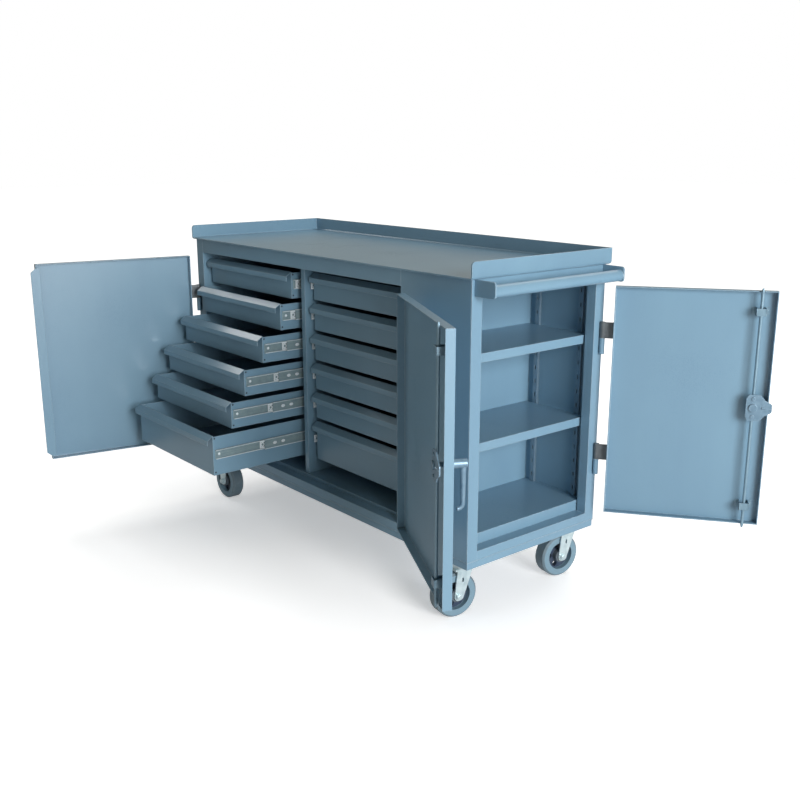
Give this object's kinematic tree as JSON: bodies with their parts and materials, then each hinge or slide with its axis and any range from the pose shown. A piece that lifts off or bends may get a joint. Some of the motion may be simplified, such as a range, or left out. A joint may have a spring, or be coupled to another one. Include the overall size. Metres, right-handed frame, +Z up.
{
  "type": "maintenance cart",
  "caption": "Steel maintenance cart on casters with pull-out drawer banks behind double doors, a shelf compartment behind an end door, a lipped worktop and a push handle.",
  "frame": {"origin": "middle of the bottom of the rest-pose box, at floor level", "axes": "+X along the length to the push-handle end, -Y to the drawers, +Z up"},
  "size_m": [2.2265, 1.5924, 1.16],
  "materials": {
    "painted_steel": "blue-grey semi-gloss paint",
    "zinc_steel": "zinc plated",
    "bare_steel": "dark mill finish",
    "wheel_plastic": "moulded, satin"
  },
  "bodies": {
    "cabinet": {"worktop": "painted_steel", "left_front_post": "painted_steel", "front_header": "painted_steel", "front_sill": "painted_steel", "right_front_panel": "painted_steel", "left_end_panel": "painted_steel", "rear_panel": "painted_steel", "end_frame": "painted_steel", "cabinet_floors": "painted_steel", "partition_walls": "painted_steel", "center_mullion": "painted_steel", "base_channels": "painted_steel", "compartment_floor": "painted_steel", "compartment_shelves": "painted_steel", "shelf_standards": "painted_steel", "push_handle": "painted_steel", "post_hinges": "bare_steel", "drawer_slide_rails": "zinc_steel", "swivel_caster_plates": "zinc_steel", "rigid_caster_forks": "zinc_steel"},
    "left_door": {"left_door": "painted_steel"},
    "right_door": {"right_door": "painted_steel"},
    "end_door": {"end_door": "painted_steel"},
    "right_door_latch": {"right_door_latch": "painted_steel"},
    "right_door_upper_rod": {"right_door_upper_rod": "zinc_steel"},
    "right_door_lower_rod": {"right_door_lower_rod": "zinc_steel"},
    "end_door_latch": {"end_door_latch": "painted_steel"},
    "end_door_upper_rod": {"end_door_upper_rod": "zinc_steel"},
    "end_door_lower_rod": {"end_door_lower_rod": "zinc_steel"},
    "left_drawer_1": {"left_drawer_1": "painted_steel"},
    "left_drawer_1_slide": {"left_drawer_1_slide": "zinc_steel"},
    "left_drawer_2": {"left_drawer_2": "painted_steel"},
    "left_drawer_2_slide": {"left_drawer_2_slide": "zinc_steel"},
    "left_drawer_3": {"left_drawer_3": "painted_steel"},
    "left_drawer_3_slide": {"left_drawer_3_slide": "zinc_steel"},
    "left_drawer_4": {"left_drawer_4": "painted_steel"},
    "left_drawer_4_slide": {"left_drawer_4_slide": "zinc_steel"},
    "left_drawer_5": {"left_drawer_5": "painted_steel"},
    "left_drawer_5_slide": {"left_drawer_5_slide": "zinc_steel"},
    "left_drawer_6": {"left_drawer_6": "painted_steel"},
    "left_drawer_6_slide": {"left_drawer_6_slide": "zinc_steel"},
    "right_drawer_1": {"right_drawer_1": "painted_steel"},
    "right_drawer_1_slide": {"right_drawer_1_slide": "zinc_steel"},
    "right_drawer_2": {"right_drawer_2": "painted_steel"},
    "right_drawer_2_slide": {"right_drawer_2_slide": "zinc_steel"},
    "right_drawer_3": {"right_drawer_3": "painted_steel"},
    "right_drawer_3_slide": {"right_drawer_3_slide": "zinc_steel"},
    "right_drawer_4": {"right_drawer_4": "painted_steel"},
    "right_drawer_4_slide": {"right_drawer_4_slide": "zinc_steel"},
    "right_drawer_5": {"right_drawer_5": "painted_steel"},
    "right_drawer_5_slide": {"right_drawer_5_slide": "zinc_steel"},
    "right_drawer_6": {"right_drawer_6": "painted_steel"},
    "right_drawer_6_slide": {"right_drawer_6_slide": "zinc_steel"},
    "front_swivel_fork": {"front_swivel_fork": "zinc_steel"},
    "front_swivel_wheel": {"front_swivel_wheel": "wheel_plastic"},
    "front_rigid_wheel": {"front_rigid_wheel": "wheel_plastic"},
    "rear_swivel_fork": {"rear_swivel_fork": "zinc_steel"},
    "rear_swivel_wheel": {"rear_swivel_wheel": "wheel_plastic"},
    "rear_rigid_wheel": {"rear_rigid_wheel": "wheel_plastic"}
  },
  "joints": [
    {"name": "left_door_hinge", "type": "hinge", "parent": "cabinet", "child": "left_door", "pos_m": [-1.00478, -0.13403, 0.6525], "axis": [0, 0, -1], "range_deg": [-8.5, 79.5]},
    {"name": "right_door_hinge", "type": "hinge", "parent": "cabinet", "child": "right_door", "pos_m": [0.34422, -0.13403, 0.6525], "axis": [0, 0, 1], "range_deg": [-152.2, 27.8]},
    {"name": "end_door_hinge", "type": "hinge", "parent": "cabinet", "child": "end_door", "pos_m": [0.64272, 0.46847, 0.6525], "axis": [0, 0, 1], "range_deg": [-126.4, 53.6]},
    {"name": "right_door_latch_turn", "type": "hinge", "parent": "right_door", "child": "right_door_latch", "pos_m": [0.86802, -0.4206, 0.6665], "axis": [0.4664, 0.8846, 0], "range_deg": [-90, 0]},
    {"name": "right_door_upper_rod_slide", "type": "slide", "parent": "right_door", "child": "right_door_upper_rod", "axis": [0, 0, 1], "range_m": [-0.0201, 0.0001]},
    {"name": "right_door_lower_rod_slide", "type": "slide", "parent": "right_door", "child": "right_door_lower_rod", "axis": [0, 0, -1], "range_m": [-0.0201, 0.0001]},
    {"name": "end_door_latch_turn", "type": "hinge", "parent": "end_door", "child": "end_door_latch", "pos_m": [1.04097, 0.75065, 0.6665], "axis": [-0.5934, 0.8049, 0], "range_deg": [-90, 0]},
    {"name": "end_door_upper_rod_slide", "type": "slide", "parent": "end_door", "child": "end_door_upper_rod", "axis": [0, 0, 1], "range_m": [-0.0201, 0.0001]},
    {"name": "end_door_lower_rod_slide", "type": "slide", "parent": "end_door", "child": "end_door_lower_rod", "axis": [0, 0, -1], "range_m": [-0.0201, 0.0001]},
    {"name": "left_drawer_1_pull", "type": "slide", "parent": "cabinet", "child": "left_drawer_1", "axis": [0, -1, 0], "range_m": [-0.052, 0.398]},
    {"name": "left_drawer_1_slide_run", "type": "slide", "parent": "cabinet", "child": "left_drawer_1_slide", "axis": [0, -1, 0], "range_m": [-0.0261, 0.1991]},
    {"name": "left_drawer_2_pull", "type": "slide", "parent": "cabinet", "child": "left_drawer_2", "axis": [0, -1, 0], "range_m": [-0.104, 0.346]},
    {"name": "left_drawer_2_slide_run", "type": "slide", "parent": "cabinet", "child": "left_drawer_2_slide", "axis": [0, -1, 0], "range_m": [-0.0521, 0.1731]},
    {"name": "left_drawer_3_pull", "type": "slide", "parent": "cabinet", "child": "left_drawer_3", "axis": [0, -1, 0], "range_m": [-0.186, 0.264]},
    {"name": "left_drawer_3_slide_run", "type": "slide", "parent": "cabinet", "child": "left_drawer_3_slide", "axis": [0, -1, 0], "range_m": [-0.0931, 0.1321]},
    {"name": "left_drawer_4_pull", "type": "slide", "parent": "cabinet", "child": "left_drawer_4", "axis": [0, -1, 0], "range_m": [-0.268, 0.182]},
    {"name": "left_drawer_4_slide_run", "type": "slide", "parent": "cabinet", "child": "left_drawer_4_slide", "axis": [0, -1, 0], "range_m": [-0.1341, 0.0911]},
    {"name": "left_drawer_5_pull", "type": "slide", "parent": "cabinet", "child": "left_drawer_5", "axis": [0, -1, 0], "range_m": [-0.328, 0.122]},
    {"name": "left_drawer_5_slide_run", "type": "slide", "parent": "cabinet", "child": "left_drawer_5_slide", "axis": [0, -1, 0], "range_m": [-0.1641, 0.0611]},
    {"name": "left_drawer_6_pull", "type": "slide", "parent": "cabinet", "child": "left_drawer_6", "axis": [0, -1, 0], "range_m": [-0.41, 0.04]},
    {"name": "left_drawer_6_slide_run", "type": "slide", "parent": "cabinet", "child": "left_drawer_6_slide", "axis": [0, -1, 0], "range_m": [-0.2051, 0.0201]},
    {"name": "right_drawer_1_pull", "type": "slide", "parent": "cabinet", "child": "right_drawer_1", "axis": [0, -1, 0], "range_m": [0, 0.45]},
    {"name": "right_drawer_1_slide_run", "type": "slide", "parent": "cabinet", "child": "right_drawer_1_slide", "axis": [0, -1, 0], "range_m": [-0.0001, 0.2251]},
    {"name": "right_drawer_2_pull", "type": "slide", "parent": "cabinet", "child": "right_drawer_2", "axis": [0, -1, 0], "range_m": [0, 0.45]},
    {"name": "right_drawer_2_slide_run", "type": "slide", "parent": "cabinet", "child": "right_drawer_2_slide", "axis": [0, -1, 0], "range_m": [-0.0001, 0.2251]},
    {"name": "right_drawer_3_pull", "type": "slide", "parent": "cabinet", "child": "right_drawer_3", "axis": [0, -1, 0], "range_m": [0, 0.45]},
    {"name": "right_drawer_3_slide_run", "type": "slide", "parent": "cabinet", "child": "right_drawer_3_slide", "axis": [0, -1, 0], "range_m": [-0.0001, 0.2251]},
    {"name": "right_drawer_4_pull", "type": "slide", "parent": "cabinet", "child": "right_drawer_4", "axis": [0, -1, 0], "range_m": [0, 0.45]},
    {"name": "right_drawer_4_slide_run", "type": "slide", "parent": "cabinet", "child": "right_drawer_4_slide", "axis": [0, -1, 0], "range_m": [-0.0001, 0.2251]},
    {"name": "right_drawer_5_pull", "type": "slide", "parent": "cabinet", "child": "right_drawer_5", "axis": [0, -1, 0], "range_m": [0, 0.45]},
    {"name": "right_drawer_5_slide_run", "type": "slide", "parent": "cabinet", "child": "right_drawer_5_slide", "axis": [0, -1, 0], "range_m": [-0.0001, 0.2251]},
    {"name": "right_drawer_6_pull", "type": "slide", "parent": "cabinet", "child": "right_drawer_6", "axis": [0, -1, 0], "range_m": [0, 0.45]},
    {"name": "right_drawer_6_slide_run", "type": "slide", "parent": "cabinet", "child": "right_drawer_6_slide", "axis": [0, -1, 0], "range_m": [-0.0001, 0.2251]},
    {"name": "front_swivel", "type": "hinge", "parent": "cabinet", "child": "front_swivel_fork", "pos_m": [0.54522, -0.07153, 0.1767], "axis": [0, 0, 1], "continuous": true},
    {"name": "front_swivel_wheel_spin", "type": "hinge", "parent": "front_swivel_fork", "child": "front_swivel_wheel", "pos_m": [0.5407, -0.09713, 0.0762], "axis": [0.9848, -0.1736, 0], "continuous": true},
    {"name": "front_rigid_wheel_spin", "type": "hinge", "parent": "cabinet", "child": "front_rigid_wheel", "pos_m": [-0.90178, -0.08453, 0.0762], "axis": [0, 1, 0], "continuous": true},
    {"name": "rear_swivel", "type": "hinge", "parent": "cabinet", "child": "rear_swivel_fork", "pos_m": [0.54522, 0.42647, 0.1767], "axis": [0, 0, 1], "continuous": true},
    {"name": "rear_swivel_wheel_spin", "type": "hinge", "parent": "rear_swivel_fork", "child": "rear_swivel_wheel", "pos_m": [0.5407, 0.40087, 0.0762], "axis": [0.9848, -0.1736, 0], "continuous": true},
    {"name": "rear_rigid_wheel_spin", "type": "hinge", "parent": "cabinet", "child": "rear_rigid_wheel", "pos_m": [-0.90178, 0.43947, 0.0762], "axis": [0, 1, 0], "continuous": true}
  ],
  "couplings": [
    {"joint": "right_door_upper_rod_slide", "follows": "right_door_latch_turn", "m_per_rad": 0.012732},
    {"joint": "right_door_lower_rod_slide", "follows": "right_door_latch_turn", "m_per_rad": 0.012732},
    {"joint": "end_door_upper_rod_slide", "follows": "end_door_latch_turn", "m_per_rad": 0.012732},
    {"joint": "end_door_lower_rod_slide", "follows": "end_door_latch_turn", "m_per_rad": 0.012732},
    {"joint": "left_drawer_1_slide_run", "follows": "left_drawer_1_pull", "ratio": 0.5},
    {"joint": "left_drawer_2_slide_run", "follows": "left_drawer_2_pull", "ratio": 0.5},
    {"joint": "left_drawer_3_slide_run", "follows": "left_drawer_3_pull", "ratio": 0.5},
    {"joint": "left_drawer_4_slide_run", "follows": "left_drawer_4_pull", "ratio": 0.5},
    {"joint": "left_drawer_5_slide_run", "follows": "left_drawer_5_pull", "ratio": 0.5},
    {"joint": "left_drawer_6_slide_run", "follows": "left_drawer_6_pull", "ratio": 0.5},
    {"joint": "right_drawer_1_slide_run", "follows": "right_drawer_1_pull", "ratio": 0.5},
    {"joint": "right_drawer_2_slide_run", "follows": "right_drawer_2_pull", "ratio": 0.5},
    {"joint": "right_drawer_3_slide_run", "follows": "right_drawer_3_pull", "ratio": 0.5},
    {"joint": "right_drawer_4_slide_run", "follows": "right_drawer_4_pull", "ratio": 0.5},
    {"joint": "right_drawer_5_slide_run", "follows": "right_drawer_5_pull", "ratio": 0.5},
    {"joint": "right_drawer_6_slide_run", "follows": "right_drawer_6_pull", "ratio": 0.5}
  ]
}
